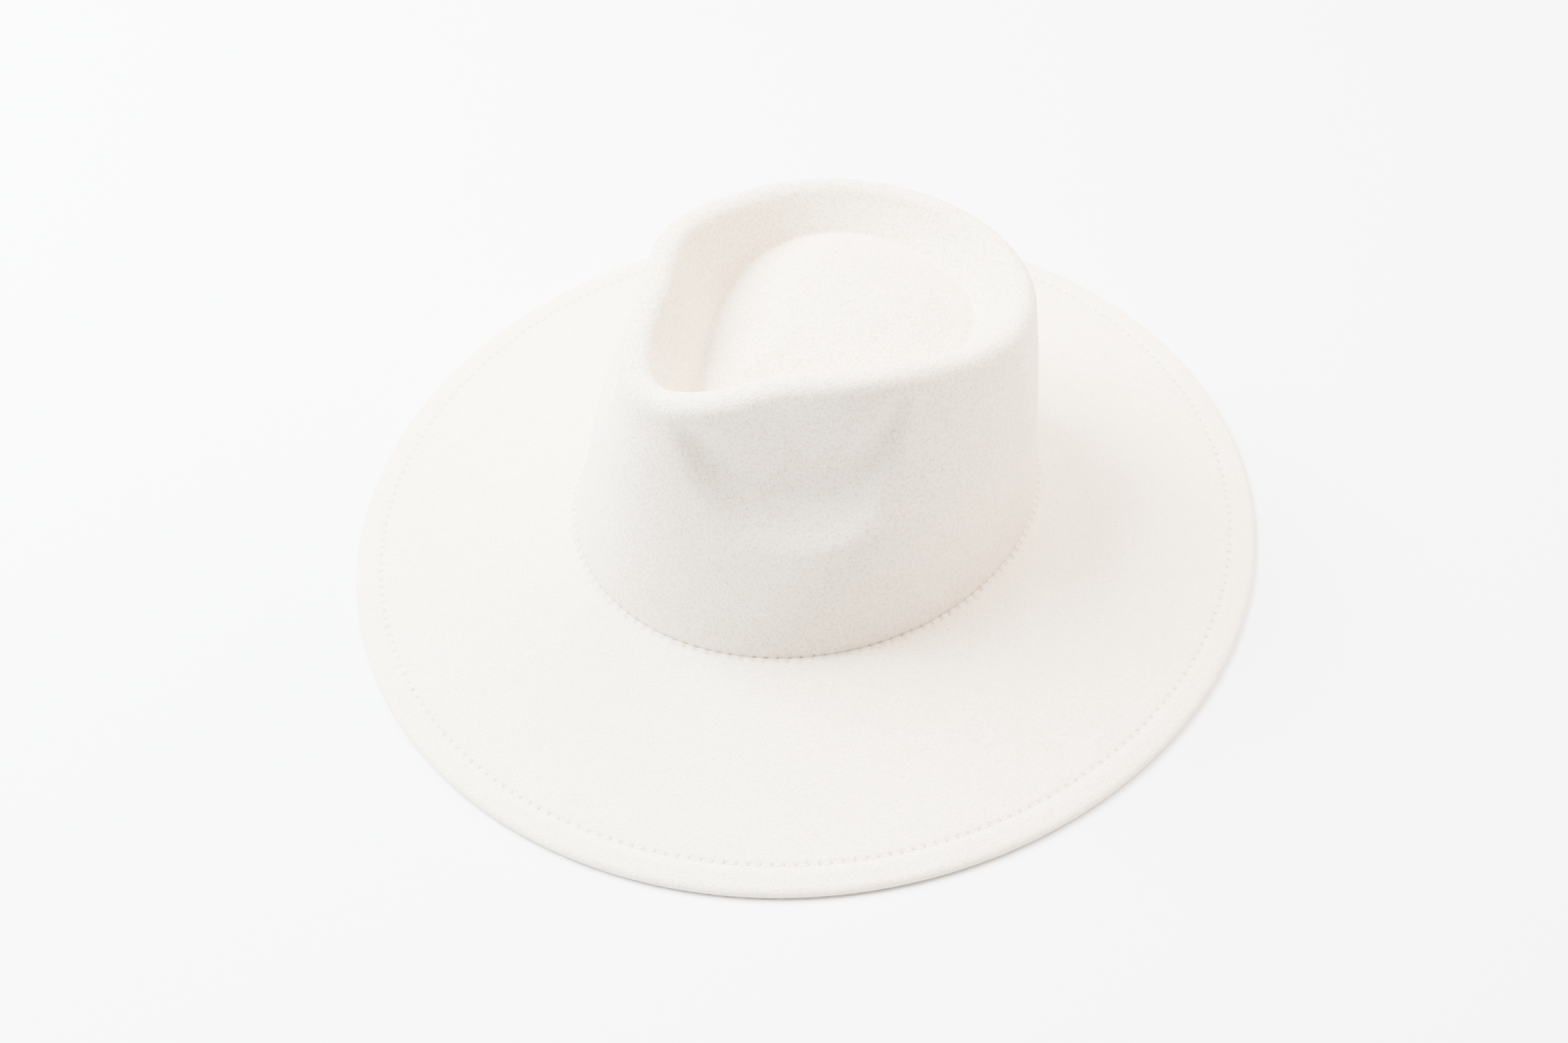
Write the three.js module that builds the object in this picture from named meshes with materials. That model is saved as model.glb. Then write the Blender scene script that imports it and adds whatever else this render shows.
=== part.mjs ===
// Rancher hat of wool felt: a teardrop crown sewn onto a wide stiff brim with a turned-under edge.
// Millimetres, +Z up. The front of the hat faces -Y and the wearer's left is +X. The origin lies on the
// surface that the brim rests on, under the middle of the brim.
import * as THREE from 'three';

// Driving dimensions
const brimLength = 384;
const brimWidth = 360;
const headLength = 202;
const headWidth = 173;
const seamHeight = 19;
const seamRise = 4.5;
const crownHeight = 118;
const rimLength = 173;
const rimWidth = 124;
const rimRadius = 6.5;
const feltThickness = 2.2;
const sewingGap = 0.3;

// The margin that is turned under round the brim, and the flat ring of it that the hat rests on
const edgeThickness = 4.8;
const turnedWidth = 12;
const restWidth = 4;

// The crown's wall and sunken top
const wallBelly = 1.5;
const wallFullness = 12;
const grooveDepth = 34;
const domeDepth = 24;
const domeFlatness = 2.6;
const domeCentreAlong = 0.15;

// The thumb dent on each side of the front. Its middle and reach count stations from the back. Its lip is a
// share of the wall's height, and rises to the rim at both ends of the reach.
const pinchDepth = 11;
const pinchMiddle = 5.7;
const pinchReach = 1.8;
const pinchLip = 0.455;
const pinchRoundness = 2.7;
const pinchSlope = 0.55;
const pinchFrontSlope = 0.3;
const pinchFrontEdge = 6;
const pinchBackEdge = 3;
const pinchDeepest = 0.1;
const fullnessRun = 0.18;

// The rim's crest from the back to the front along the wearer's left side; the right side mirrors it.
// side and along are shares of half the rim's width and length, and rise is a share of the crown's height.
// fullness is how far the wall stands out below the dent, as a share of wallFullness.
const rimStations = [
  { side: 0, along: 1.065, rise: 0.775, fullness: 0 },
  { side: 0.67, along: 0.89, rise: 0.795, fullness: 0 },
  { side: 0.995, along: 0.51, rise: 0.84, fullness: 0 },
  { side: 0.985, along: 0.155, rise: 0.908, fullness: 0.1 },
  { side: 0.925, along: -0.115, rise: 0.968, fullness: 0.4 },
  { side: 0.8, along: -0.35, rise: 0.993, fullness: 0.6 },
  { side: 0.555, along: -0.5, rise: 0.972, fullness: 0.15 },
  { side: 0.4, along: -0.73, rise: 0.925, fullness: 0 },
  { side: 0, along: -0.97, rise: 0.88, fullness: 0 },
];

// The groove inside the rim at the same places; drop is a share of the groove's depth below the crest.
const grooveStations = [
  { side: 0, along: 0.83, drop: 0.38 },
  { side: 0.51, along: 0.72, drop: 0.37 },
  { side: 0.75, along: 0.45, drop: 0.42 },
  { side: 0.78, along: 0.18, drop: 0.65 },
  { side: 0.725, along: -0.025, drop: 0.93 },
  { side: 0.6, along: -0.195, drop: 1.08 },
  { side: 0.36, along: -0.385, drop: 1.07 },
  { side: 0.15, along: -0.565, drop: 1 },
  { side: 0, along: -0.71, drop: 0.94 },
];

// The brim's upper face: how its fall from the seam to the edge is curved, and its rings as shares of width
const brimFall = 1.25;
const brimShares = [0, 0.08, 0.2, 0.35, 0.5, 0.65, 0.78];

// How finely the curves are cut
const stationCount = 2 * (rimStations.length - 1);
const columnsPerStation = 5;
const columnLean = 0.06;
const tangentStep = 0.01;
const wallSteps = [0.1, 0.24, 0.36, 0.44, 0.5, 0.56, 0.62, 0.7, 0.8, 0.91];
const rimTurns = [8, 37, 66, 94, 123, 152];
const innerWallSteps = [0.35, 0.7, 1];
const domeSteps = [0.9, 0.75, 0.55, 0.35, 0.15];
const edgeTurns = [90, 45, 0, -45, -90];
const feltColour = 0xf4efe6;

// The table for the whole way round: back to front on the left, then front to back on the right.
function wayRound(stations) {
  const right = stations.slice(1, -1).reverse().map((station) => ({ ...station, side: -station.side }));
  return [...stations, ...right];
}

const rimRound = wayRound(rimStations);
const grooveRound = wayRound(grooveStations);

// The values of a table at a place between its stations, smoothed by an even cubic B-spline.
function valuesAt(round, place) {
  const first = Math.floor(place);
  const t = place - first;
  const s = 1 - t;
  const inner = (u) => (3 * u ** 3 - 6 * u ** 2 + 4) / 6;
  const weights = [s ** 3 / 6, inner(t), inner(s), t ** 3 / 6];
  const near = weights.map((_, k) => round[(first + k - 1 + stationCount) % stationCount]);
  return Object.fromEntries(Object.keys(round[0]).map((key) => (
    [key, weights.reduce((sum, weight, k) => sum + weight * near[k][key], 0)]
  )));
}

// The angle from the back at which the seam is met at a place. The crown's columns lean toward the front.
function angleAt(place) {
  const even = (2 * Math.PI * place) / stationCount;
  return even + columnLean * Math.sin(even);
}

// Half-sizes of the brim's oval at a share of its width, from the head opening to the outer edge.
function brimHalves(share) {
  return [
    THREE.MathUtils.lerp(headWidth / 2 - feltThickness, brimWidth / 2, share),
    THREE.MathUtils.lerp(headLength / 2 - feltThickness, brimLength / 2, share),
  ];
}

// Height of the brim's upper face. The seam is higher at the front than at the back.
function brimTop(angle, share) {
  const inner = seamHeight - seamRise * Math.cos(angle);
  return edgeThickness + (inner - edgeThickness) * Math.max(0, 1 - share) ** brimFall;
}

function brimPoint(angle, share, height) {
  const [halfWidth, halfLength] = brimHalves(share);
  return new THREE.Vector3(halfWidth * Math.sin(angle), halfLength * Math.cos(angle), height);
}

function brimOutward(angle, share) {
  const [halfWidth, halfLength] = brimHalves(share);
  return new THREE.Vector3(Math.sin(angle) / halfWidth, Math.cos(angle) / halfLength, 0).normalize();
}

// The level line through the middle of the rim's rounding, and the groove's lowest line.
function rimPoint(place) {
  const rim = valuesAt(rimRound, place);
  const height = seamHeight + rim.rise * crownHeight - rimRadius;
  return new THREE.Vector3(rim.side * rimWidth / 2, rim.along * rimLength / 2, height);
}

function groovePoint(place) {
  const groove = valuesAt(grooveRound, place);
  const height = rimPoint(place).z + rimRadius - groove.drop * grooveDepth;
  return new THREE.Vector3(groove.side * rimWidth / 2, groove.along * rimLength / 2, height);
}

function rimOutward(place) {
  const along = rimPoint(place + tangentStep).sub(rimPoint(place - tangentStep));
  return new THREE.Vector3(-along.y, along.x, 0).normalize();
}

const footShare = feltThickness / ((brimWidth - headWidth) / 2 + feltThickness);
const domeTop = new THREE.Vector3(0, domeCentreAlong * rimLength / 2, seamHeight + crownHeight - domeDepth);

// How deep the thumb dent is at a place and a share of the wall's height. Its lip is sharp, and toward the
// front it runs out softly.
function dentDepth(place, step) {
  const along = Math.min(place, stationCount - place);
  const away = Math.abs(along - pinchMiddle) / pinchReach;
  const lip = pinchLip + (1 - pinchLip) * away ** pinchRoundness;
  if (away >= 1 || step <= lip) return 0;
  const inFront = along > pinchMiddle;
  const edge = inFront ? pinchFrontEdge : pinchBackEdge;
  const slope = pinchSlope + (inFront ? pinchFrontSlope * away : 0);
  const height = (step - lip) / (1 - lip);
  const inward = 1 - (1 - Math.min(height / slope, 1)) ** 2;
  const outward = 1 - THREE.MathUtils.smoothstep(height, pinchDeepest, 1);
  return pinchDepth * inward * outward * (1 - away ** edge);
}

// One column of the crown's outer face: up the wall, over the rim, down to the groove, up over the dome.
function crownColumn(place) {
  const { fullness } = valuesAt(rimRound, place);
  const angle = angleAt(place);
  const crest = rimPoint(place);
  const outward = rimOutward(place);
  const onRim = (degrees) => {
    const turn = THREE.MathUtils.degToRad(degrees);
    const point = crest.clone().addScaledVector(outward, rimRadius * Math.cos(turn));
    return point.setZ(crest.z + rimRadius * Math.sin(turn));
  };
  const foot = brimPoint(angle, footShare, brimTop(angle, footShare) + sewingGap);
  const wallTop = onRim(rimTurns[0]);
  const wall = wallSteps.map((step) => {
    const side = brimOutward(angle, footShare).lerp(outward, step).normalize();
    const belly = wallBelly * Math.sin(Math.PI * step);
    const below = 1 - THREE.MathUtils.smoothstep(step, pinchLip, pinchLip + fullnessRun);
    const proud = belly + wallFullness * fullness * step * below - dentDepth(place, step);
    return foot.clone().lerp(wallTop, step).addScaledVector(side, proud);
  });
  const rim = rimTurns.map(onRim);
  const groove = groovePoint(place);
  const innerWall = innerWallSteps.map((step) => rim[rim.length - 1].clone().lerp(groove, step));
  const dome = domeSteps.map((step) => {
    const height = domeTop.z - (domeTop.z - groove.z) * step ** domeFlatness;
    return domeTop.clone().lerp(groove, step).setZ(height);
  });
  return [foot, ...wall, ...rim, ...innerWall, ...dome];
}

// The inner face: each point of the outer face moved in by the felt's thickness, square to the surface.
function innerRings(rings, apex) {
  const count = rings[0].length;
  return rings.map((ring, row) => ring.map((point, k) => {
    const around = ring[(k + 1) % count].clone().sub(ring[(k + count - 1) % count]);
    const above = row + 1 < rings.length ? rings[row + 1][k] : apex;
    const below = row > 0 ? rings[row - 1][k] : point;
    const normal = around.cross(above.clone().sub(below)).normalize();
    return point.clone().addScaledVector(normal, feltThickness);
  }));
}

// A closed mesh of rings of points, each joined to the next, with a point at both ends or the ends joined.
function ringMesh(rings, poles) {
  const count = rings[0].length;
  const points = rings.flat();
  const faces = [];
  const joined = poles ? rings.length - 1 : rings.length;
  for (let row = 0; row < joined; row += 1) {
    const near = row * count;
    const far = ((row + 1) % rings.length) * count;
    for (let k = 0; k < count; k += 1) {
      const next = (k + 1) % count;
      faces.push(near + k, near + next, far + next, near + k, far + next, far + k);
    }
  }
  if (poles) {
    const last = (rings.length - 1) * count;
    points.push(...poles);
    for (let k = 0; k < count; k += 1) {
      const next = (k + 1) % count;
      faces.push(points.length - 2, next, k, points.length - 1, last + k, last + next);
    }
  }
  const geometry = new THREE.BufferGeometry().setFromPoints(points);
  geometry.setIndex(faces);
  geometry.computeVertexNormals();
  return geometry;
}

const places = Array.from({ length: stationCount * columnsPerStation }, (_, k) => k / columnsPerStation);

// Turns a list of columns into a list of rings.
function ringsOf(columns) {
  return columns[0].map((_, row) => columns.map((column) => column[row]));
}

function crownGeometry() {
  const outer = ringsOf(places.map(crownColumn));
  const inner = innerRings(outer, domeTop);
  inner[0] = places.map((place) => brimPoint(angleAt(place), 0, brimTop(angleAt(place), 0) + sewingGap));
  const innerTop = domeTop.clone().setZ(domeTop.z - feltThickness);
  return ringMesh([...outer.reverse(), ...inner], [domeTop, innerTop]);
}

// One column of the brim, round its whole section: out over the upper face, round the edge, along the resting
// face of the turned margin, up the margin's cut edge and back along the underside.
function brimColumn(place) {
  const angle = angleAt(place);
  const roll = edgeThickness / 2;
  const edgeOutward = brimOutward(angle, 1);
  const fromEdge = (distance, height) => brimPoint(angle, 1, height).addScaledVector(edgeOutward, -distance);
  const width = (brimWidth - headWidth) / 2 + feltThickness;
  const heightFromEdge = (distance) => brimTop(angle, 1 - distance / width);
  const marginTop = heightFromEdge(turnedWidth);

  const upper = brimShares.map((share) => brimPoint(angle, share, brimTop(angle, share)));
  const edge = edgeTurns.map((degrees) => {
    const turn = THREE.MathUtils.degToRad(degrees);
    return fromEdge(roll - roll * Math.cos(turn), roll + roll * Math.sin(turn));
  });
  const under = upper.map((point) => point.clone().setZ(point.z - feltThickness)).reverse();
  return [
    ...upper,
    fromEdge(turnedWidth, marginTop),
    fromEdge(turnedWidth / 2, heightFromEdge(turnedWidth / 2)),
    ...edge,
    fromEdge(roll + restWidth, 0),
    fromEdge(turnedWidth, marginTop - edgeThickness),
    fromEdge(turnedWidth, marginTop - feltThickness),
    ...under,
  ];
}

function feltPiece(name, geometry) {
  const material = new THREE.MeshStandardMaterial({ color: feltColour, roughness: 0.95, metalness: 0 });
  const mesh = new THREE.Mesh(geometry, material);
  mesh.name = name;
  return mesh;
}

const hat = new THREE.Group();
hat.add(feltPiece('crown', crownGeometry()));
hat.add(feltPiece('brim', ringMesh(ringsOf(places.map(brimColumn)), null)));

export default hat;
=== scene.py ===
"""A rancher hat of ivory wool felt: a pinched teardrop crown sewn to a wide brim with a stitched edge.

Sizes are in metres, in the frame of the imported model: the front of the hat faces -Y, the wearer's left is
+X, and the hat rests on the floor at z = 0 on the turned-under margin of its brim.
"""
import logging
import math
from dataclasses import dataclass, field
from enum import Enum
from typing import Callable, NamedTuple, Sequence

import bmesh
import bpy
from mathutils import Matrix, Vector, noise


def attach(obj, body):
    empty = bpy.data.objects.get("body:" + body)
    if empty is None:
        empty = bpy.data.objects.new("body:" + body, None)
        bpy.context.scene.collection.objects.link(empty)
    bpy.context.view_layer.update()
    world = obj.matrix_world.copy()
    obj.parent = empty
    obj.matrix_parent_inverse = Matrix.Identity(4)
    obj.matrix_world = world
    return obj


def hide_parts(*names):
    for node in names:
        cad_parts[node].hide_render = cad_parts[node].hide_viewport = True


log = logging.getLogger("rancher_hat")
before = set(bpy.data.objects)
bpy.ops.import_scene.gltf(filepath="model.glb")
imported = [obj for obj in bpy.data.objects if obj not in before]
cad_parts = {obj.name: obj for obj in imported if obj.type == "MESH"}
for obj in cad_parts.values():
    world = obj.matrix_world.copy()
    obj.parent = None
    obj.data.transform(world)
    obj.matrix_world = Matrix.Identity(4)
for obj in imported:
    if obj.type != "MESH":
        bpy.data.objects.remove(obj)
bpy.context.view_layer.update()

BODY = "root"
STATIONS = 16
COLUMNS = 160
UP = Vector((0, 0, 1))
MERGE_DISTANCE = 1e-7
Ring = list[Vector]


class Slot(Enum):
    """The record's material slots."""

    CROWN = "crown_felt"
    BRIM = "brim_felt"


class SeamMap(Enum):
    """The UV maps that run along a row of stitches: metres along the row, and metres away from it."""

    CROWN_SEAM = "crown_seam"
    EDGE_ROW = "edge_row"


class RimStation(NamedTuple):
    """The rim's crest at one place, in shares of half the rim's width and length and the crown's rise."""

    side: float
    along: float
    rise: float
    fullness: float


class GrooveStation(NamedTuple):
    """The groove inside the rim at one place; drop is a share of the groove's depth below the crest."""

    side: float
    along: float
    drop: float


RIM_STATIONS = (
    RimStation(0.0, 1.065, 0.775, 0.0),
    RimStation(0.67, 0.89, 0.795, 0.0),
    RimStation(0.995, 0.51, 0.84, 0.0),
    RimStation(0.985, 0.155, 0.908, 0.1),
    RimStation(0.925, -0.115, 0.968, 0.4),
    RimStation(0.8, -0.35, 0.993, 0.6),
    RimStation(0.555, -0.5, 0.972, 0.15),
    RimStation(0.4, -0.73, 0.925, 0.0),
    RimStation(0.0, -0.97, 0.88, 0.0),
)

GROOVE_STATIONS = (
    GrooveStation(0.0, 0.83, 0.38),
    GrooveStation(0.51, 0.72, 0.37),
    GrooveStation(0.75, 0.45, 0.42),
    GrooveStation(0.78, 0.18, 0.65),
    GrooveStation(0.725, -0.025, 0.93),
    GrooveStation(0.6, -0.195, 1.08),
    GrooveStation(0.36, -0.385, 1.07),
    GrooveStation(0.15, -0.565, 1.0),
    GrooveStation(0.0, -0.71, 0.94),
)

# Shares of the way up the crown's wall, closest together at the foot and at the dent's lip.
WALL_STEPS = (0.006, 0.02, 0.05, 0.09, 0.14, 0.2, 0.26, 0.32, 0.37, 0.41, 0.44, 0.465, 0.485, 0.505, 0.53,
              0.555, 0.58, 0.61, 0.64, 0.68, 0.72, 0.76, 0.8, 0.84, 0.87, 0.9, 0.93, 0.96, 0.98)
# Degrees round the rim's crest, from the wall to the sunken top.
RIM_TURNS = (8, 26, 44, 62, 80, 98, 116, 134, 152)
# Shares of the way from the rim down to the groove, and from the dome's top out to the groove.
SLOPE_STEPS = (0.2, 0.4, 0.6, 0.78, 0.92)
DOME_STEPS = (0.96, 0.89, 0.8, 0.7, 0.6, 0.5, 0.4, 0.3, 0.2, 0.1)
# Shares of the way out over the brim, from the head opening to the stitched margin.
BRIM_STEPS = (0.0, 0.006, 0.03, 0.08, 0.14, 0.2, 0.27, 0.34, 0.41, 0.48, 0.55, 0.62, 0.69, 0.76, 0.81)
# Degrees round the brim's edge, from the upper face to the underside.
EDGE_TURNS = (78, 64, 50, 36, 22, 8, -8, -26, -45, -68, -90)


class WayRound:
    """A table of stations from the back of the hat to its front, mirrored and read the whole way round."""

    def __init__(self, half: Sequence[NamedTuple]) -> None:
        """Mirrors the wearer's left side.

        Args:
            half: The stations from back to front; the first column is the distance to the side.
        """
        right = [row._replace(side=-row.side) for row in reversed(half[1:-1])]
        self.rows = [*half, *right]

    def at(self, place: float) -> NamedTuple:
        """Reads the table between its stations, smoothed by an even cubic B-spline.

        Args:
            place: Counts stations from the back.

        Returns:
            A station of the same kind as the table's.
        """
        first = math.floor(place)
        t = place - first
        s = 1 - t
        weights = (s**3 / 6, (3 * t**3 - 6 * t**2 + 4) / 6, (3 * s**3 - 6 * s**2 + 4) / 6, t**3 / 6)
        near = [self.rows[(first + k - 1) % STATIONS] for k in range(4)]
        values = (sum(w * row[c] for w, row in zip(weights, near)) for c in range(len(near[0])))
        return type(near[0])(*values)


def smoothstep(value: float, low: float, high: float) -> float:
    """Rises smoothly from 0 at low to 1 at high."""
    t = min(1.0, max(0.0, (value - low) / (high - low)))
    return t * t * (3 - 2 * t)


def angle_at(place: float) -> float:
    """The angle from the back at which a column meets the seam; the columns lean toward the front."""
    column_lean = 0.06
    even = 2 * math.pi * place / STATIONS
    return even + column_lean * math.sin(even)


def running_length(points: Sequence[Vector]) -> list[float]:
    """Distances along a closed line of points, from 0 at the first to its whole length."""
    lengths = [0.0]
    for here, there in zip(points, [*points[1:], points[0]]):
        lengths.append(lengths[-1] + (there - here).length)
    return lengths


def hand_blocked(point: Vector, normal: Vector, depth: float, reach: float) -> Vector:
    """Moves a point of the felt a little, as felt that is shaped by hand over a block is never quite even.

    Args:
        point: The point on the even shape.
        normal: The direction in which it may move.
        depth: The most that it moves.
        reach: The size of the unevenness.

    Returns:
        The moved point.
    """
    return point + normal * (depth * noise.noise(point / reach))


@dataclass
class Skin:
    """A felt surface that is drawn out of a circle, ring by ring."""

    name: str
    rings: list[Ring]
    closes: bool = False
    maps: dict[str, Callable[[int, int], tuple[float, float]]] = field(default_factory=dict)

    def build(self) -> bpy.types.Object:
        """Draws the rings, closes them and writes the UV maps.

        Returns:
            The finished object at the origin, with smooth faces that point outwards.
        """
        count = len(self.rings[0])
        mesh = bmesh.new()
        tag = mesh.verts.layers.int.new("place")
        ring = bmesh.ops.create_circle(mesh, segments=count, radius=1.0)["verts"]
        ring.sort(key=lambda vert: math.atan2(vert.co.x, vert.co.y) % (2 * math.pi))
        self._lay(ring, 0, tag)
        edges = list(mesh.edges)
        for row in range(1, len(self.rings) + int(self.closes)):
            order = {vert: k for k, vert in enumerate(ring)}
            geom = bmesh.ops.extrude_edge_only(mesh, edges=edges)["geom"]
            fresh = [item for item in geom if isinstance(item, bmesh.types.BMVert)]
            edges = [item for item in geom if isinstance(item, bmesh.types.BMEdge)]
            ring = [None] * count
            for vert in fresh:
                below = next(e.other_vert(vert) for e in vert.link_edges if e.other_vert(vert) in order)
                ring[order[below]] = vert
            self._lay(ring, row, tag)
        self._write_maps(mesh, tag, count)
        bmesh.ops.remove_doubles(mesh, verts=mesh.verts, dist=MERGE_DISTANCE)
        bmesh.ops.recalc_face_normals(mesh, faces=mesh.faces)
        for face in mesh.faces:
            face.smooth = True
        return finished(self.name, mesh)

    def _lay(self, ring: list[bmesh.types.BMVert], row: int, tag: bmesh.types.BMLayerItem) -> None:
        """Puts one ring of vertices where the felt goes, and marks each with its row and column."""
        for column, (vert, point) in enumerate(zip(ring, self.rings[row % len(self.rings)])):
            vert.co = point
            vert[tag] = row * len(ring) + column

    def _write_maps(self, mesh: bmesh.types.BMesh, tag: bmesh.types.BMLayerItem, count: int) -> None:
        """Writes each UV map from every corner's row and column, without a jump where the ring closes."""
        for name, place in self.maps.items():
            layer = mesh.loops.layers.uv.new(name)
            for face in mesh.faces:
                columns = [loop.vert[tag] % count for loop in face.loops]
                wraps = 0 in columns and count - 1 in columns
                for loop, column in zip(face.loops, columns):
                    turned = count if wraps and column == 0 else column
                    loop[layer].uv = place(turned, loop.vert[tag] // count)


def finished(name: str, mesh: bmesh.types.BMesh) -> bpy.types.Object:
    """Turns a bmesh into an object of the scene, at the origin.

    Args:
        name: The piece's name.
        mesh: Its shape, which is freed.

    Returns:
        The new object.
    """
    data = bpy.data.meshes.new(name)
    mesh.to_mesh(data)
    mesh.free()
    piece = bpy.data.objects.new(name, data)
    bpy.context.scene.collection.objects.link(piece)
    return piece


def smoothed(piece: bpy.types.Object, levels: int = 1) -> bpy.types.Object:
    """Gives a piece a subdivision surface with the same levels in the view and the render."""
    modifier = piece.modifiers.new("felt_surface", "SUBSURF")
    modifier.levels = levels
    modifier.render_levels = levels
    return piece


class Wiring:
    """Adds nodes to a node tree and joins them."""

    def __init__(self, tree: bpy.types.NodeTree) -> None:
        """Works on one tree, which may be a material's or a group's."""
        self.tree = tree

    def add(self, kind: str, **settings: object) -> bpy.types.Node:
        """Adds a node of a kind, such as "TexNoise", and sets its properties."""
        node = self.tree.nodes.new("ShaderNode" + kind)
        for name, value in settings.items():
            setattr(node, name, value)
        return node

    def feed(self, socket: bpy.types.NodeSocket, value: object) -> None:
        """Joins another node's output to a socket, or sets the socket's own value."""
        if isinstance(value, bpy.types.NodeSocket):
            self.tree.links.new(value, socket)
        else:
            socket.default_value = value

    def math(self, operation: str, *values: object) -> bpy.types.NodeSocket:
        """A Math node; returns its result."""
        node = self.add("Math", operation=operation)
        for socket, value in zip(node.inputs, values):
            self.feed(socket, value)
        return node.outputs[0]

    def vector(self, operation: str, *values: object) -> bpy.types.Node:
        """A Vector Math node."""
        node = self.add("VectorMath", operation=operation)
        for socket, value in zip(node.inputs, values):
            self.feed(socket, value)
        return node

    def noise(self, where: object, scale: object, detail: float, rough: float = 0.5,
              ) -> bpy.types.NodeSocket:
        """A Noise Texture read at a place; returns its value, from about 0.3 to 0.7."""
        node = self.add("TexNoise")
        for name, value in (("Vector", where), ("Scale", scale), ("Detail", detail), ("Roughness", rough)):
            self.feed(node.inputs[name], value)
        return node.outputs[0]

    def span(self, value: object, low: float, high: float, start: float = 0.0, end: float = 1.0,
             ) -> bpy.types.NodeSocket:
        """Carries a value smoothly from the range low to high over to the range start to end."""
        node = self.add("MapRange", interpolation_type="SMOOTHSTEP")
        for socket, number in zip(node.inputs, (value, low, high, start, end)):
            self.feed(socket, number)
        return node.outputs[0]

    def blend(self, share: object, first: object, second: object, how: str = "MIX",
              ) -> bpy.types.NodeSocket:
        """Mixes two colours by a share; returns the colour."""
        node = self.add("Mix", data_type="RGBA", blend_type=how)
        for index, value in ((0, share), (6, first), (7, second)):
            self.feed(node.inputs[index], value)
        return node.outputs[2]


class Group:
    """A shader node group with named inputs and outputs, built once and placed in several materials."""

    def __init__(self, name: str, inputs: dict[str, object], outputs: dict[str, str]) -> None:
        """Makes the group's sockets.

        Args:
            name: The group's name.
            inputs: Each input's name and its value; a tuple of four is a colour, one of three is a vector.
            outputs: Each output's name and its kind, "Float" or "Color".
        """
        self.tree = bpy.data.node_groups.new(name, "ShaderNodeTree")
        for label, value in inputs.items():
            size = len(value) if isinstance(value, tuple) else 1
            kind = {1: "Float", 3: "Vector", 4: "Color"}[size]
            socket = self.tree.interface.new_socket(
                name=label, in_out="INPUT", socket_type="NodeSocket" + kind)
            socket.default_value = value
        for label, kind in outputs.items():
            self.tree.interface.new_socket(
                name=label, in_out="OUTPUT", socket_type="NodeSocket" + kind)
        self.wiring = Wiring(self.tree)
        self.entry = self.tree.nodes.new("NodeGroupInput")
        self.exit = self.tree.nodes.new("NodeGroupOutput")

    def place(self, desk: Wiring, **values: object) -> bpy.types.Node:
        """Places the group in a material and feeds its inputs; an underscore stands for a space."""
        node = desk.add("Group", node_tree=self.tree)
        for name, value in values.items():
            desk.feed(node.inputs[name.replace("_", " ")], value)
        return node


def felt_nap() -> Group:
    """The surface of wool felt: fine short fibres, small clumps, a faint broad mottling and painted shade
    in low pits.

    Returns:
        A group that puts out the felt's colour with its painted pit shade, its height for a bump, and its
        roughness.
    """
    group = Group(
        "felt_nap",
        {"Felt Colour": (0.9, 0.87, 0.8, 1.0), "Mottle Colour": (0.85, 0.8, 0.72, 1.0),
         "Pit Colour": (0.72, 0.62, 0.5, 1.0), "Pit Depth": 0.75, "Grain": 1550.0, "Clumps": 740.0,
         "Mottling": 0.35},
        {"Colour": "Color", "Height": "Float", "Roughness": "Float"},
    )
    cloud_scale = 46.0
    fibre_height = 0.12
    clump_share = 0.35
    desk, given = group.wiring, group.entry.outputs
    where = desk.add("TexCoord").outputs["Object"]
    grain = desk.noise(where, given["Grain"], 3.0, 0.65)
    clumps = desk.noise(where, given["Clumps"], 3.0, 0.6)
    cloudy = desk.noise(where, cloud_scale, 2.0)
    fibres = [0.0]
    for tilt, scale in (((0.5, 0.2, 0.9), (2600.0, 420.0, 900.0)),
                        ((1.1, 0.7, 2.3), (420.0, 2600.0, 900.0)),
                        ((0.3, 1.4, 0.4), (900.0, 2600.0, 420.0))):
        turned = desk.add("Mapping")
        desk.feed(turned.inputs["Vector"], where)
        desk.feed(turned.inputs["Rotation"], tilt)
        desk.feed(turned.inputs["Scale"], scale)
        strand = desk.span(desk.noise(turned.outputs[0], 1.0, 1.0), 0.6, 0.72)
        fibres.append(desk.math("MAXIMUM", fibres[-1], strand))
    height = desk.math("MULTIPLY_ADD", clumps, 0.5, desk.math("MULTIPLY", grain, 0.5))
    # Painted shade: the low pits of the nap's height are darkened in the colour, standing in for shade
    # between fibres.
    pits = desk.span(height, 0.37, 0.53, 1.0, 0.0)
    raised = desk.math("MULTIPLY_ADD", fibres[-1], fibre_height, height)
    dense = desk.span(clumps, 0.35, 0.68)
    shade = desk.math("MULTIPLY_ADD", dense, -clump_share, desk.span(cloudy, 0.3, 0.7))
    share = desk.math("MULTIPLY", desk.math("ADD", shade, clump_share), given["Mottling"])
    colour = desk.blend(share, given["Felt Colour"], given["Mottle Colour"])
    painted_pit_shade = desk.math("MULTIPLY", pits, given["Pit Depth"])
    colour = desk.blend(painted_pit_shade, colour, given["Pit Colour"], "MULTIPLY")
    desk.feed(group.exit.inputs["Colour"], colour)
    desk.feed(group.exit.inputs["Height"], raised)
    desk.feed(group.exit.inputs["Roughness"], desk.span(clumps, 0.3, 0.7, 0.97, 0.86))
    return group


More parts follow.
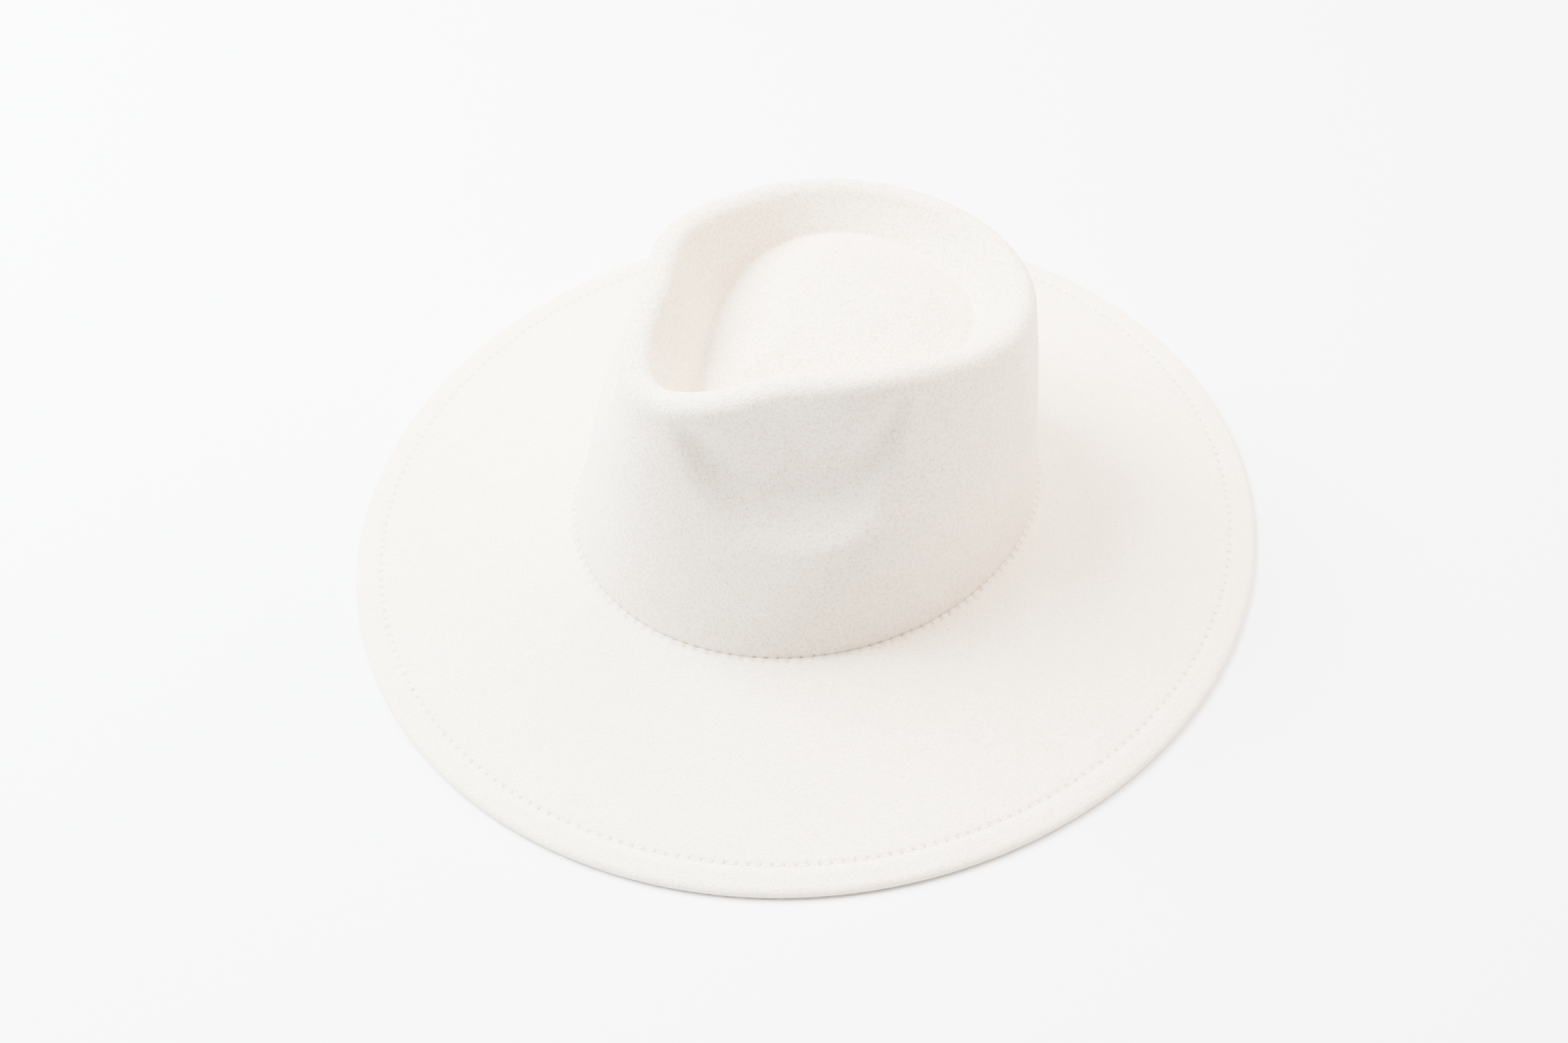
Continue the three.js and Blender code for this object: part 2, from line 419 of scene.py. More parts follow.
def needle_row() -> Group:
    """A seam's needle holes, with painted shade in each, and the felt that the thread pulls down round
    them.

    Returns:
        A group that reads a seam's UV map and puts out a mask of the holes for their painted shade, and the
        pulled felt's height.
    """
    group = Group(
        "needle_row",
        {"Seam Place": (0.0, 0.0, 0.0), "Pitch": 0.0045, "Hole": 0.0004, "Pull": 0.0016, "Off Row": 0.0},
        {"Hole Shade": "Float", "Height": "Float"},
    )
    desk, given = group.wiring, group.entry.outputs
    parts = desk.add("SeparateXYZ")
    desk.feed(parts.inputs[0], given["Seam Place"])
    turns = desk.math("DIVIDE", parts.outputs[0], given["Pitch"])
    from_hole = desk.math("SUBTRACT", desk.math("FRACT", turns), 0.5)
    along = desk.math("MULTIPLY", from_hole, given["Pitch"])
    across = desk.math("SUBTRACT", parts.outputs[1], given["Off Row"])
    away = desk.math("SQRT", desk.math("ADD", desk.math("MULTIPLY", along, along),
                                       desk.math("MULTIPLY", across, across)))
    ragged_scale = 1900.0
    ragged = desk.noise(desk.add("TexCoord").outputs["Object"], ragged_scale, 2.0)
    away = desk.math("MULTIPLY", away, desk.span(ragged, 0.3, 0.7, 0.75, 1.3))
    holes = desk.math("SUBTRACT", 1.0, desk.math("MINIMUM", desk.math("DIVIDE", away, given["Hole"]), 1.0))
    pulled = desk.math("MINIMUM", desk.math("DIVIDE", away, given["Pull"]), 1.0)
    desk.feed(group.exit.inputs["Hole Shade"], desk.span(holes, 0.0, 0.6))
    desk.feed(group.exit.inputs["Height"], desk.span(pulled, 0.0, 1.0))
    return group


def felt_mark() -> Group:
    """One small mark on the felt, such as a speck or a stain, at a place of its own.

    Returns:
        A group that puts out the mark's colour over the felt's.
    """
    group = Group(
        "felt_mark",
        {"Felt": (1.0, 1.0, 1.0, 1.0), "Mark": (0.4, 0.35, 0.25, 1.0), "Centre": (0.0, 0.0, 0.0),
         "Radius": 0.001, "Strength": 0.5},
        {"Colour": "Color"},
    )
    desk, given = group.wiring, group.entry.outputs
    where = desk.add("TexCoord").outputs["Object"]
    away = desk.vector("DISTANCE", where, given["Centre"]).outputs["Value"]
    uneven = desk.span(desk.noise(where, 900.0, 3.0), 0.3, 0.7, 0.6, 1.4)
    reach = desk.math("DIVIDE", desk.math("MULTIPLY", away, uneven), given["Radius"])
    share = desk.math("MULTIPLY", desk.span(reach, 0.3, 1.0, 1.0, 0.0), given["Strength"])
    desk.feed(group.exit.inputs["Colour"], desk.blend(share, given["Felt"], given["Mark"], "MULTIPLY"))
    return group


@dataclass(frozen=True)
class Mark:
    """A speck or a stain on the felt."""

    centre: tuple[float, float, float]
    radius: float
    strength: float
    colour: tuple[float, float, float, float]


@dataclass(frozen=True)
class NeedleRow:
    """A row of needle holes along a seam's UV map, darkened with painted shade.

    The pitch is the space between holes, hole and pull are the radii of the hole and of the felt pulled
    down round it by depth, and off_row is where the row lies across the map.
    """

    seam: SeamMap
    pitch: float
    hole: float
    pull: float
    off_row: float
    depth: float


@dataclass(frozen=True)
class FeltFinish:
    """Ivory wool felt with a short nap."""

    name: str
    felt: tuple[float, float, float, float] = (0.955, 0.85, 0.705, 1.0)
    mottle: tuple[float, float, float, float] = (0.9, 0.77, 0.61, 1.0)
    mottling: float = 0.3
    # How strongly the painted shade darkens the nap's low pits.
    pit_shade_strength: float = 0.85
    nap_depth: float = 0.001
    nap_strength: float = 1.0
    sheen: float = 0.25
    # Painted shade inside each needle hole: a dark tan that multiplies the felt.
    hole_shade_colour: tuple[float, float, float, float] = (0.55, 0.38, 0.2, 1.0)
    rows: tuple[NeedleRow, ...] = ()
    marks: tuple[Mark, ...] = ()

    def material(self, groups: dict[str, Group]) -> bpy.types.Material:
        """Wires the felt's material.

        Args:
            groups: The shared effects by name.

        Returns:
            The material.
        """
        material = bpy.data.materials.new(self.name)
        material.use_nodes = True
        desk = Wiring(material.node_tree)
        shader = material.node_tree.nodes["Principled BSDF"]
        nap = groups["felt_nap"].place(desk, Felt_Colour=self.felt, Mottle_Colour=self.mottle,
                                       Mottling=self.mottling, Pit_Depth=self.pit_shade_strength)
        colour = nap.outputs["Colour"]
        bump = desk.add("Bump")
        desk.feed(bump.inputs["Strength"], self.nap_strength)
        desk.feed(bump.inputs["Distance"], self.nap_depth)
        desk.feed(bump.inputs["Height"], nap.outputs["Height"])
        normal = bump.outputs["Normal"]
        for row in self.rows:
            seam = desk.add("UVMap", uv_map=row.seam.value)
            holes = groups["needle_row"].place(desk, Seam_Place=seam.outputs[0], Pitch=row.pitch,
                                               Hole=row.hole, Pull=row.pull, Off_Row=row.off_row)
            # Painted shade: the felt is darkened inside each needle hole.
            colour = desk.blend(holes.outputs["Hole Shade"], colour, self.hole_shade_colour, "MULTIPLY")
            pucker = desk.add("Bump")
            desk.feed(pucker.inputs["Distance"], row.depth)
            desk.feed(pucker.inputs["Height"], holes.outputs["Height"])
            desk.feed(pucker.inputs["Normal"], normal)
            normal = pucker.outputs["Normal"]
        for mark in self.marks:
            placed = groups["felt_mark"].place(desk, Felt=colour, Mark=mark.colour, Centre=mark.centre,
                                               Radius=mark.radius, Strength=mark.strength)
            colour = placed.outputs["Colour"]
        desk.feed(shader.inputs["Base Color"], colour)
        desk.feed(shader.inputs["Roughness"], nap.outputs["Roughness"])
        desk.feed(shader.inputs["Normal"], normal)
        shader.inputs["Specular IOR Level"].default_value = 0.2
        shader.inputs["Sheen Weight"].default_value = self.sheen
        shader.inputs["Sheen Roughness"].default_value = 0.55
        return material


@dataclass(frozen=True)
class ThreadFinish:
    """Ivory sewing thread, twisted."""

    name: str
    light: tuple[float, float, float, float] = (0.93, 0.9, 0.85, 1.0)
    dark: tuple[float, float, float, float] = (0.8, 0.75, 0.66, 1.0)
    twist_scale: float = 5200.0
    twist_depth: float = 0.00008

    def material(self) -> bpy.types.Material:
        """Wires the thread's material, with the fine bands of its twist."""
        material = bpy.data.materials.new(self.name)
        material.use_nodes = True
        desk = Wiring(material.node_tree)
        shader = material.node_tree.nodes["Principled BSDF"]
        where = desk.add("TexCoord").outputs["Object"]
        twist = desk.noise(where, self.twist_scale, 2.0)
        banded = desk.blend(desk.span(twist, 0.35, 0.65), self.dark, self.light)
        desk.feed(shader.inputs["Base Color"], banded)
        bump = desk.add("Bump")
        desk.feed(bump.inputs["Distance"], self.twist_depth)
        desk.feed(bump.inputs["Height"], twist)
        desk.feed(shader.inputs["Normal"], bump.outputs["Normal"])
        shader.inputs["Roughness"].default_value = 0.6
        shader.inputs["Sheen Weight"].default_value = 0.15
        return material


@dataclass
class Brim:
    """The wide, stiff brim with an oval head opening; its outer margin is turned under and stitched."""

    length: float = 0.384
    width: float = 0.360
    head_length: float = 0.202
    head_width: float = 0.173
    felt: float = 0.0022
    seam_height: float = 0.019
    seam_rise: float = 0.0045
    fall: float = 1.25
    edge_thickness: float = 0.0048
    edge_nose: float = 0.0021
    edge_softness: float = 0.0038
    turned_width: float = 0.012
    rest_width: float = 0.004
    stitch_inset: float = 0.0107
    stitch_count: int = 256
    channel_depth: float = 0.0005
    seam_count: int = 131
    unevenness: float = 0.0005
    unevenness_reach: float = 0.06

    def halves(self, share: float) -> tuple[float, float]:
        """Half-sizes of the brim's oval at a share of its width, from the head opening to the edge."""
        inner_width = self.head_width / 2 - self.felt
        inner_length = self.head_length / 2 - self.felt
        return (inner_width + share * (self.width / 2 - inner_width),
                inner_length + share * (self.length / 2 - inner_length))

    def top(self, angle: float, share: float) -> float:
        """Height of the upper face, which falls from the seam to the edge and is higher at the front."""
        inner = self.seam_height - self.seam_rise * math.cos(angle)
        return self.edge_thickness + (inner - self.edge_thickness) * max(0.0, 1 - share) ** self.fall

    def point(self, angle: float, share: float, height: float) -> Vector:
        """A point over the brim's oval at an angle from the back."""
        half_width, half_length = self.halves(share)
        return Vector((half_width * math.sin(angle), half_length * math.cos(angle), height))

    def outward(self, angle: float, share: float) -> Vector:
        """The level direction away from the head at a point of the oval."""
        half_width, half_length = self.halves(share)
        return Vector((math.sin(angle) / half_width, math.cos(angle) / half_length, 0)).normalized()

    @property
    def reach(self) -> float:
        """The brim's width from the head opening to the edge."""
        return (self.width - self.head_width) / 2 + self.felt

    @property
    def foot_share(self) -> float:
        """Where the outside of the crown's foot meets the brim, as a share of the brim's width."""
        return self.felt / self.reach

    def from_edge(self, angle: float, distance: float, height: float) -> Vector:
        """A point at a distance in from the outer edge."""
        return self.point(angle, 1.0, height) - self.outward(angle, 1.0) * distance

    def top_from_edge(self, angle: float, distance: float) -> float:
        """Height of the upper face at a distance in from the outer edge."""
        return self.top(angle, 1 - distance / self.reach)

    def section(self, place: float) -> Ring:
        """The brim's whole section at a place.

        Args:
            place: Counts stations from the back.

        Returns:
            Points out over the upper face, round the edge, along the margin and back along the underside.
        """
        angle = angle_at(place)
        roll = self.edge_thickness / 2
        upper = [self.point(angle, share, self.top(angle, share)) for share in BRIM_STEPS]
        channel = ((0.0140, 0), (0.0126, 0.05), (0.0117, 0.35), (self.stitch_inset, 1),
                   (0.0097, 0.35), (0.0088, 0.0), (0.0074, -0.3), (0.0060, -0.1))
        margin = []
        for distance, sunk in channel:
            height = self.top_from_edge(angle, distance) - sunk * self.channel_depth
            margin.append(self.from_edge(angle, distance, height))
        edge = []
        for degrees in EDGE_TURNS:
            turn = math.radians(degrees)
            over = degrees > 0
            reach = self.edge_softness if over else self.edge_nose
            height = self.edge_thickness - self.edge_nose if over else self.edge_nose
            inset = reach * (1 - math.cos(turn))
            edge.append(self.from_edge(angle, inset, self.edge_nose + height * math.sin(turn)))
        resting = [self.from_edge(angle, roll + self.rest_width * share, 0)
                   for share in (0.0, 0.4, 0.8, 1.0)]
        cut_top = self.top_from_edge(angle, self.turned_width) - self.felt
        cut_foot = cut_top + self.felt - self.edge_thickness
        rested = roll + self.rest_width
        folded = [self.from_edge(angle, rested + (self.turned_width - rested) * share, cut_foot * share)
                  for share in (0.3, 0.6, 0.94, 1.0)]
        cut = [self.from_edge(angle, self.turned_width, cut_foot + (cut_top - cut_foot) * share)
               for share in (0.12, 0.88, 1.0)]
        under = [self.point(angle, share, self.top(angle, share) - self.felt)
                 for share in reversed(BRIM_STEPS)]
        return upper + margin + edge + resting + folded + cut + under

    def line(self, share: float, lift: float = 0.0) -> Ring:
        """Points all the way round on the upper face at a share of the brim's width."""
        angles = [angle_at(k * STATIONS / COLUMNS) for k in range(COLUMNS)]
        return [self.point(angle, share, self.top(angle, share) + lift) for angle in angles]

    def stitch_line(self, lift: float = 0.0, under: bool = False) -> Ring:
        """Points all the way round on the stitch row of the upper face, or of the margin's underside."""
        line = []
        for k in range(COLUMNS):
            angle = angle_at(k * STATIONS / COLUMNS)
            height = self.top_from_edge(angle, self.stitch_inset)
            if under:
                rested = self.edge_thickness / 2 + self.rest_width
                share = (self.stitch_inset - rested) / (self.turned_width - rested)
                height = (self.top_from_edge(angle, self.turned_width) - self.edge_thickness) * share
            line.append(self.from_edge(angle, self.stitch_inset, height + lift))
        return line

    def build(self) -> bpy.types.Object:
        """Draws the brim's felt and its two seam maps."""
        columns = [self.section(k * STATIONS / COLUMNS) for k in range(COLUMNS)]
        open_rows = range(6, len(BRIM_STEPS))
        for column in columns:
            for row in open_rows:
                column[row] = hand_blocked(column[row], UP, self.unevenness, self.unevenness_reach)
        rings = [list(ring) for ring in zip(*columns)]
        edge_run = running_length(self.stitch_line())
        seam_run = running_length(self.line(self.foot_share))
        foot = self.line(self.foot_share)
        under_seam = -0.002

        def edge_row(column: int, row: int) -> tuple[float, float]:
            """Metres along the edge's stitch row, and metres in from it."""
            point = rings[row % len(rings)][column % COLUMNS]
            turn = angle_at(column * STATIONS / COLUMNS)
            inset = (point - self.point(turn, 1.0, point.z)).length
            return edge_run[column], inset - self.stitch_inset

        def crown_seam(column: int, row: int) -> tuple[float, float]:
            """Metres along the crown's seam, and metres away from it; the opening's edge lies under it."""
            point = rings[row % len(rings)][column % COLUMNS]
            away = (point - foot[column % COLUMNS]).length
            return seam_run[column], away if row not in (0, len(rings)) else under_seam

        skin = Skin("brim_felt", rings, True, {SeamMap.EDGE_ROW.value: edge_row,
                                               SeamMap.CROWN_SEAM.value: crown_seam})
        return smoothed(skin.build())


@dataclass
class Crown:
    """The blocked crown: a teardrop rim round a sunken top, with a pinch on each side below the rim."""

    brim: Brim
    height: float = 0.118
    rim_length: float = 0.173
    rim_width: float = 0.124
    rim_radius: float = 0.0065
    felt: float = 0.0022
    sewing_gap: float = 0.00006
    crease_depth: float = 0.0013
    belly: float = 0.0015
    wall_fullness: float = 0.012
    fullness_run: float = 0.18
    pinch_depth: float = 0.011
    pinch_middle: float = 5.7
    pinch_reach: float = 1.8
    pinch_lip: float = 0.455
    pinch_roundness: float = 2.7
    pinch_slope: float = 0.55
    pinch_front_slope: float = 0.3
    pinch_front_edge: float = 6.0
    pinch_back_edge: float = 3.0
    pinch_deepest: float = 0.1
    groove_depth: float = 0.034
    dome_depth: float = 0.024
    dome_flatness: float = 2.6
    dome_along: float = 0.15
    wall_unevenness: float = 0.0006
    wall_unevenness_reach: float = 0.03
    dome_unevenness: float = 0.0005
    dome_unevenness_reach: float = 0.025
    rim_round: WayRound = field(default_factory=lambda: WayRound(RIM_STATIONS))
    groove_round: WayRound = field(default_factory=lambda: WayRound(GROOVE_STATIONS))

    @property
    def dome_top(self) -> Vector:
        """The highest point of the dome in the sunken top."""
        return Vector((0, self.dome_along * self.rim_length / 2,
                       self.brim.seam_height + self.height - self.dome_depth))

    def rim_point(self, place: float) -> Vector:
        """A point on the line through the middle of the rim's rounding."""
        rim = self.rim_round.at(place)
        return Vector((rim.side * self.rim_width / 2, rim.along * self.rim_length / 2,
                       self.brim.seam_height + rim.rise * self.height - self.rim_radius))

    def groove_point(self, place: float) -> Vector:
        """A point of the groove's lowest line."""
        groove = self.groove_round.at(place)
        height = self.rim_point(place).z + self.rim_radius - groove.drop * self.groove_depth
        return Vector((groove.side * self.rim_width / 2, groove.along * self.rim_length / 2, height))

    def rim_outward(self, place: float) -> Vector:
        """The level direction away from the sunken top."""
        nudge = 0.01
        along = self.rim_point(place + nudge) - self.rim_point(place - nudge)
        return Vector((-along.y, along.x, 0)).normalized()

    def pinch(self, place: float, step: float) -> float:
        """How far the thumb dent on each side of the front goes in.

        Args:
            place: Counts stations from the back.
            step: Height up the wall, from 0 at the foot to 1 at the rim.

        Returns:
            The depth of the dent, deepest a little above its lip and nothing outside it.
        """
        along = min(place % STATIONS, STATIONS - place % STATIONS)
        away = abs(along - self.pinch_middle) / self.pinch_reach
        lip = self.pinch_lip + (1 - self.pinch_lip) * away**self.pinch_roundness
        if step <= lip or away >= 1:
            return 0.0
        height = (step - lip) / (1 - lip)
        in_front = along > self.pinch_middle
        edge = self.pinch_front_edge if in_front else self.pinch_back_edge
        slope = self.pinch_slope + (self.pinch_front_slope * away if in_front else 0)
        inward = 1 - (1 - min(height / slope, 1.0))**2
        outward = 1 - smoothstep(height, self.pinch_deepest, 1.0)
        return self.pinch_depth * inward * outward * (1 - away**edge)

    def column(self, place: float) -> Ring:
        """One column of the outer face.

        Args:
            place: Counts stations from the back.

        Returns:
            Points up the wall, over the rim, down to the groove and up over the dome.
        """
        rim = self.rim_round.at(place)
        angle = angle_at(place)
        crest, outward = self.rim_point(place), self.rim_outward(place)
        share = self.brim.foot_share
        foot = self.brim.point(angle, share, self.brim.top(angle, share) + self.sewing_gap)
        side_at_foot = self.brim.outward(angle, share)

        def on_rim(degrees: float) -> Vector:
            """A point of the rim's rounding, from 0 degrees on its outer side to 180 on its inner side."""
            turn = math.radians(degrees)
            across = outward * (self.rim_radius * math.cos(turn))
            return crest + across + UP * (self.rim_radius * math.sin(turn))

        wall_top = on_rim(RIM_TURNS[0])
        points = [foot]
        for step in WALL_STEPS:
            side = side_at_foot.lerp(outward, step).normalized()
            below = 1 - smoothstep(step, self.pinch_lip, self.pinch_lip + self.fullness_run)
            proud = self.belly * math.sin(math.pi * step) - self.pinch(place, step)
            proud += self.wall_fullness * rim.fullness * step * below
            point = foot.lerp(wall_top, step) + side * proud
            uneven = self.wall_unevenness * smoothstep(step, 0, 0.15)
            points.append(hand_blocked(point, side, uneven, self.wall_unevenness_reach))
        points += [on_rim(degrees) for degrees in RIM_TURNS]
        groove = self.groove_point(place)
        rim_end = points[-1]
        points += [rim_end.lerp(groove, step) for step in SLOPE_STEPS]
        in_front = 0.5 - 0.5 * math.cos(angle)
        points.append(groove - UP * (self.crease_depth * (0.3 + 0.7 * in_front)))
        top = self.dome_top
        for step in DOME_STEPS:
            point = top.lerp(groove, step)
            point.z = top.z - (top.z - groove.z) * step**self.dome_flatness
            points.append(hand_blocked(point, UP, self.dome_unevenness, self.dome_unevenness_reach))
        return points

    def inner_face(self, outer: list[Ring]) -> list[Ring]:
        """The inner face: each point of the outer face moved in by the felt's thickness.

        Args:
            outer: The rings of the outer face, from the foot to the dome.

        Returns:
            The rings of the inner face in the same order.
        """
        count = len(outer[0])
        inner = []
        for row, ring in enumerate(outer):
            above = outer[row + 1] if row + 1 < len(outer) else [self.dome_top] * count
            below = outer[row - 1] if row > 0 else ring
            inner.append([])
            for k, point in enumerate(ring):
                around = ring[(k + 1) % count] - ring[k - 1]
                normal = around.cross(above[k] - below[k]).normalized()
                inner[-1].append(point + normal * self.felt)
        inner[0] = self.brim.line(0.0, self.sewing_gap)
        return inner

    def build(self) -> bpy.types.Object:
        """Draws the crown's felt from the top of the dome to the foot and back up inside."""
        columns = [self.column(k * STATIONS / COLUMNS) for k in range(COLUMNS)]
        outer = [list(ring) for ring in zip(*columns)]
        inner = self.inner_face(outer)
        top = self.dome_top
        under = top - UP * self.felt
        rings = [[top] * COLUMNS, *reversed(outer), *inner, [under] * COLUMNS]
        seam_run = running_length(self.brim.line(self.brim.foot_share))
        foot_row = len(outer)
        inside = -0.01

        def crown_seam(column: int, row: int) -> tuple[float, float]:
            """Metres along the seam, and metres up from it; the whole inner face lies off the row."""
            point, foot = rings[row][column % COLUMNS], rings[foot_row][column % COLUMNS]
            return seam_run[column], (point - foot).length if row <= foot_row else inside

        skin = Skin("crown_felt", rings, False, {SeamMap.CROWN_SEAM.value: crown_seam})
        return smoothed(skin.build())


@dataclass
class StitchRow:
    """A row of small stitches, each a short thread that lies between two needle holes."""

    name: str
    count: int
    thread_radius: float = 0.00021
    cover: float = 0.74

    def build(self, lines: Sequence[Ring]) -> bpy.types.Object:
        """Lays the stitches along closed lines.

        Args:
            lines: The points of each row on the felt.

        Returns:
            One piece that holds all the stitches.
        """
        mesh = bmesh.new()
        stitch = self._stitch()
        for line in lines:
            run = running_length(line)
            pitch = run[-1] / self.count
            size = Matrix.Diagonal((pitch * self.cover / 2, self.thread_radius, self.thread_radius, 1))
            for number in range(self.count):
                start = self._at(line, run, (number + 0.5) * pitch)
                end = self._at(line, run, (number + 1.5) * pitch)
                turn = (end - start).to_track_quat("X", "Z").to_matrix().to_4x4()
                place = Matrix.Translation((start + end) / 2) @ turn @ size
                laid = stitch.copy()
                laid.transform(place)
                mesh.from_mesh(laid)
                bpy.data.meshes.remove(laid)
        bpy.data.meshes.remove(stitch)
        for face in mesh.faces:
            face.smooth = True
        return finished(self.name, mesh)

    @staticmethod
    def _stitch() -> bpy.types.Mesh:
        """One stitch of length and thickness 2, a slim round bead that lies along X."""
        bead = bmesh.new()
        lying = Matrix.Rotation(math.pi / 2, 4, "Y")
        bmesh.ops.create_uvsphere(bead, u_segments=6, v_segments=6, radius=1.0, matrix=lying)
        mesh = bpy.data.meshes.new("stitch")
        bead.to_mesh(mesh)
        bead.free()
        return mesh

    @staticmethod
    def _at(line: Ring, run: list[float], distance: float) -> Vector:
        """The point at a distance along the closed line."""
        distance %= run[-1]
        k = next(i for i in range(len(line)) if run[i + 1] >= distance)
        share = (distance - run[k]) / (run[k + 1] - run[k])
        return line[k].lerp(line[(k + 1) % len(line)], share)


@dataclass
class Studio:
    """The pale floor, the soft light and the camera at the photograph's viewing angle."""

    azimuth: float = 50.0
    elevation: float = 48.04
    roll: float = -0.62
    distance: float = 0.8058
    target: tuple[float, float, float] = (-0.0017, -0.0124, 0.0042)
    lens: float = 44.29
    floor_size: float = 6.0
    floor_colour: tuple[float, float, float, float] = (0.85, 0.855, 0.89, 1.0)
    room_colour: tuple[float, float, float, float] = (1.0, 0.76, 0.6, 1.0)
    room_light: float = 0.19

    def camera(self) -> bpy.types.Object:
        """Places the camera."""
        azimuth, elevation, roll = (math.radians(v) for v in (self.azimuth, self.elevation, self.roll))
        back = Vector((math.sin(azimuth) * math.cos(elevation), -math.cos(azimuth) * math.cos(elevation),
                       math.sin(elevation)))
        right = Vector((math.cos(azimuth), math.sin(azimuth), 0))
        up = back.cross(right)
        across = right * math.cos(roll) + up * math.sin(roll)
        upright = up * math.cos(roll) - right * math.sin(roll)
        turn = Matrix((across, upright, back)).transposed().to_4x4()
        data = bpy.data.cameras.new("photo_camera")
        data.lens = self.lens
        data.sensor_width = 36.0
        camera = bpy.data.objects.new("photo_camera", data)
        camera.matrix_world = Matrix.Translation(Vector(self.target) + back * self.distance) @ turn
        bpy.context.scene.collection.objects.link(camera)
        bpy.context.scene.camera = camera
        return camera

    def lamp(self, name: str, bearing: float, height: float, distance: float, size: float, power: float,
             colour: tuple[float, float, float]) -> bpy.types.Object:
        """Places a soft square lamp that looks at the hat.

        Args:
            name: The lamp's name.
            bearing: Degrees round from the camera's own side, positive toward the picture's left.
            height: Degrees above the floor.
            distance: Metres from the hat.
            size: The lamp's side in metres.
            power: Watts.
            colour: Red, green and blue.

        Returns:
            The lamp.
        """
        aim_height = 0.05
        turn, rise = math.radians(self.azimuth - bearing), math.radians(height)
        level = Vector((math.sin(turn), -math.cos(turn), 0))
        toward = level * math.cos(rise) + UP * math.sin(rise)
        data = bpy.data.lights.new(name, "AREA")
        data.size = size
        data.energy = power
        data.color = colour
        lamp = bpy.data.objects.new(name, data)
        lamp.location = UP * aim_height + toward * distance
        lamp.rotation_euler = (-toward).to_track_quat("-Z", "Y").to_euler()
        bpy.context.scene.collection.objects.link(lamp)
        return lamp

    def floor(self) -> bpy.types.Object:
        """Lays the plain pale floor."""
        mesh = bmesh.new()
        bmesh.ops.create_grid(mesh, x_segments=4, y_segments=4, size=self.floor_size)
        floor = finished("studio_floor", mesh)
        material = bpy.data.materials.new("studio_paper")
        material.use_nodes = True
        desk = Wiring(material.node_tree)
        shader = material.node_tree.nodes["Principled BSDF"]
        where = desk.add("TexCoord").outputs["Object"]
        darker = 0.985
        pale = tuple(darker * v for v in self.floor_colour[:3]) + (1.0,)
        uneven = desk.blend(desk.noise(where, 2.0, 1.0), pale, self.floor_colour)
        desk.feed(shader.inputs["Base Color"], uneven)
        shader.inputs["Roughness"].default_value = 0.9
        shader.inputs["Specular IOR Level"].default_value = 0.1
        floor.data.materials.append(material)
        return floor

    def build(self) -> None:
        """Sets up the floor, the surrounding light, the lamps and the camera."""
        self.floor()
        world = bpy.data.worlds.new("soft_room")
        world.use_nodes = True
        background = world.node_tree.nodes["Background"]
        background.inputs["Color"].default_value = self.room_colour
        background.inputs["Strength"].default_value = self.room_light
        bpy.context.scene.world = world
        self.lamp("key_lamp", bearing=109.0, height=52.0, distance=1.45, size=1.0, power=232.0,
                  colour=(0.935, 0.98, 1.0))
        self.lamp("top_lamp", bearing=-145.0, height=68.0, distance=2.0, size=1.4, power=128.0,
                  colour=(0.96, 0.98, 1.0))
        self.lamp("side_lamp", bearing=-108.0, height=36.0, distance=1.6, size=1.0, power=74.0,
                  colour=(1.0, 0.77, 0.58))
        self.camera()


IVORY_MARKS = (
    Mark((0.173, -0.0334, 0.005), 0.0022, 0.35, (0.92, 0.82, 0.45, 1.0)),
    Mark((0.0924, -0.0088, 0.0178), 0.0005, 0.8, (0.3, 0.26, 0.2, 1.0)),
    Mark((0.176, -0.0204, 0.0049), 0.0005, 0.7, (0.35, 0.3, 0.24, 1.0)),
    Mark((0.0462, 0.1128, 0.0116), 0.0009, 0.3, (0.6, 0.52, 0.4, 1.0)),
    Mark((-0.0468, 0.0533, 0.1114), 0.0006, 0.6, (0.4, 0.34, 0.26, 1.0)),
    Mark((-0.0253, -0.0414, 0.1171), 0.0005, 0.5, (0.45, 0.38, 0.3, 1.0)),
)


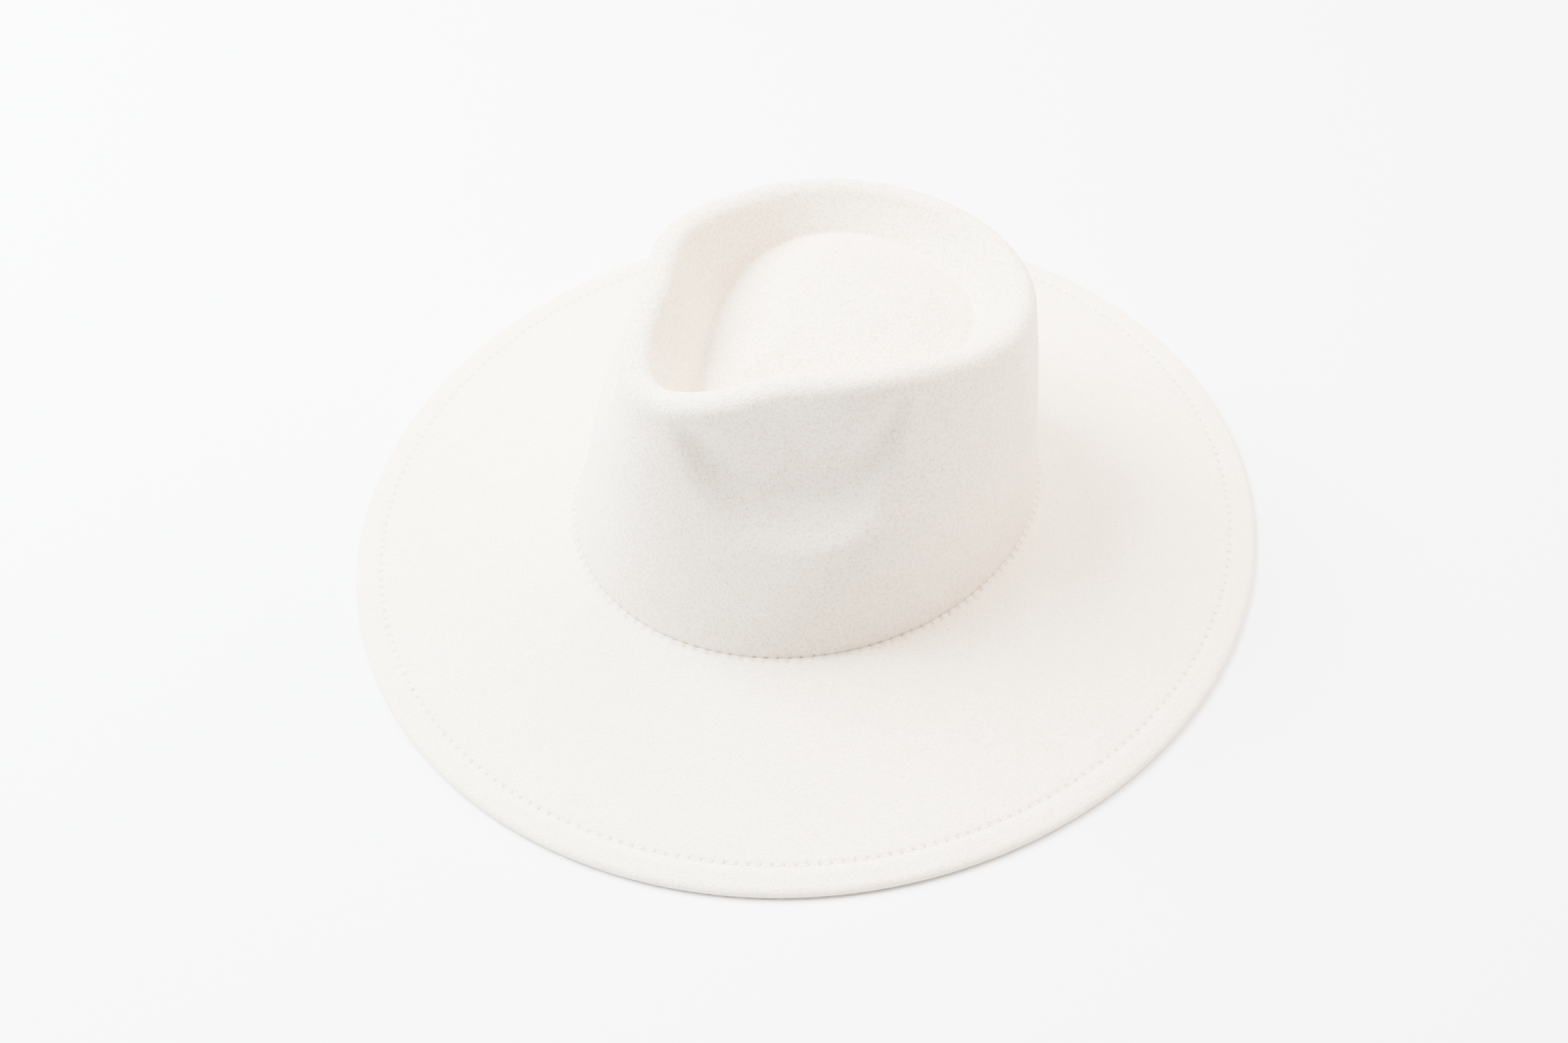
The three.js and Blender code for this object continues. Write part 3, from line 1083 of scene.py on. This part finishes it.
@dataclass
class RancherHat:
    """The whole hat."""

    brim: Brim = field(default_factory=Brim)
    seam_thread_lift: float = 0.0001
    edge_thread_sink: float = 0.00036

    def build(self) -> None:
        """Builds each piece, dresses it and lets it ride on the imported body."""
        groups = {"felt_nap": felt_nap(), "needle_row": needle_row(), "felt_mark": felt_mark()}
        crown = Crown(self.brim)
        seam_lines = [self.brim.line(self.brim.foot_share, self.seam_thread_lift)]
        seam_pitch = running_length(seam_lines[0])[-1] / self.brim.seam_count
        edge_lines = [self.brim.stitch_line(-self.edge_thread_sink), self.brim.stitch_line(under=True)]
        edge_pitch = running_length(edge_lines[0])[-1] / self.brim.stitch_count
        seam_holes = NeedleRow(SeamMap.CROWN_SEAM, seam_pitch, hole=0.0008, pull=0.0020, off_row=0.0002,
                               depth=0.0005)
        edge_holes = NeedleRow(SeamMap.EDGE_ROW, edge_pitch, hole=0.0005, pull=0.0014, off_row=0.0,
                               depth=0.00035)
        # The crown and the brim are one felt drawn as lit and shaded copies: the mostly lit brim's copy has
        # a slightly darker colour and much weaker painted pit shade than the crown's, which is mostly in
        # shade.
        crown_felt = FeltFinish("crown_felt", rows=(seam_holes,), marks=IVORY_MARKS[4:]).material(groups)
        lit_brim_finish = FeltFinish("brim_felt", felt=(0.945, 0.845, 0.7, 1.0), pit_shade_strength=0.4, nap_depth=0.0008,
                             rows=(edge_holes, seam_holes), marks=IVORY_MARKS[:4])
        brim_felt = lit_brim_finish.material(groups)
        thread = ThreadFinish("sewing_thread").material()

        pieces = (
            (crown.build(), crown_felt, Slot.CROWN, "crown"),
            (self.brim.build(), brim_felt, Slot.BRIM, "brim"),
            (StitchRow("edge_stitches", self.brim.stitch_count).build(edge_lines), thread, Slot.BRIM, ""),
            (StitchRow("seam_stitches", self.brim.seam_count).build(seam_lines), thread, Slot.CROWN, ""),
        )
        for piece, finish, slot, node in pieces:
            piece.data.materials.append(finish)
            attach(piece, BODY)
            if node:
                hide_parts(node)
            log.info("%s: %d faces", piece.name, len(piece.data.polygons))


def main() -> None:
    """Builds the studio and the hat."""
    logging.basicConfig(level=logging.INFO, format="%(message)s")
    Studio().build()
    RancherHat().build()


if __name__ == "__main__":
    main()
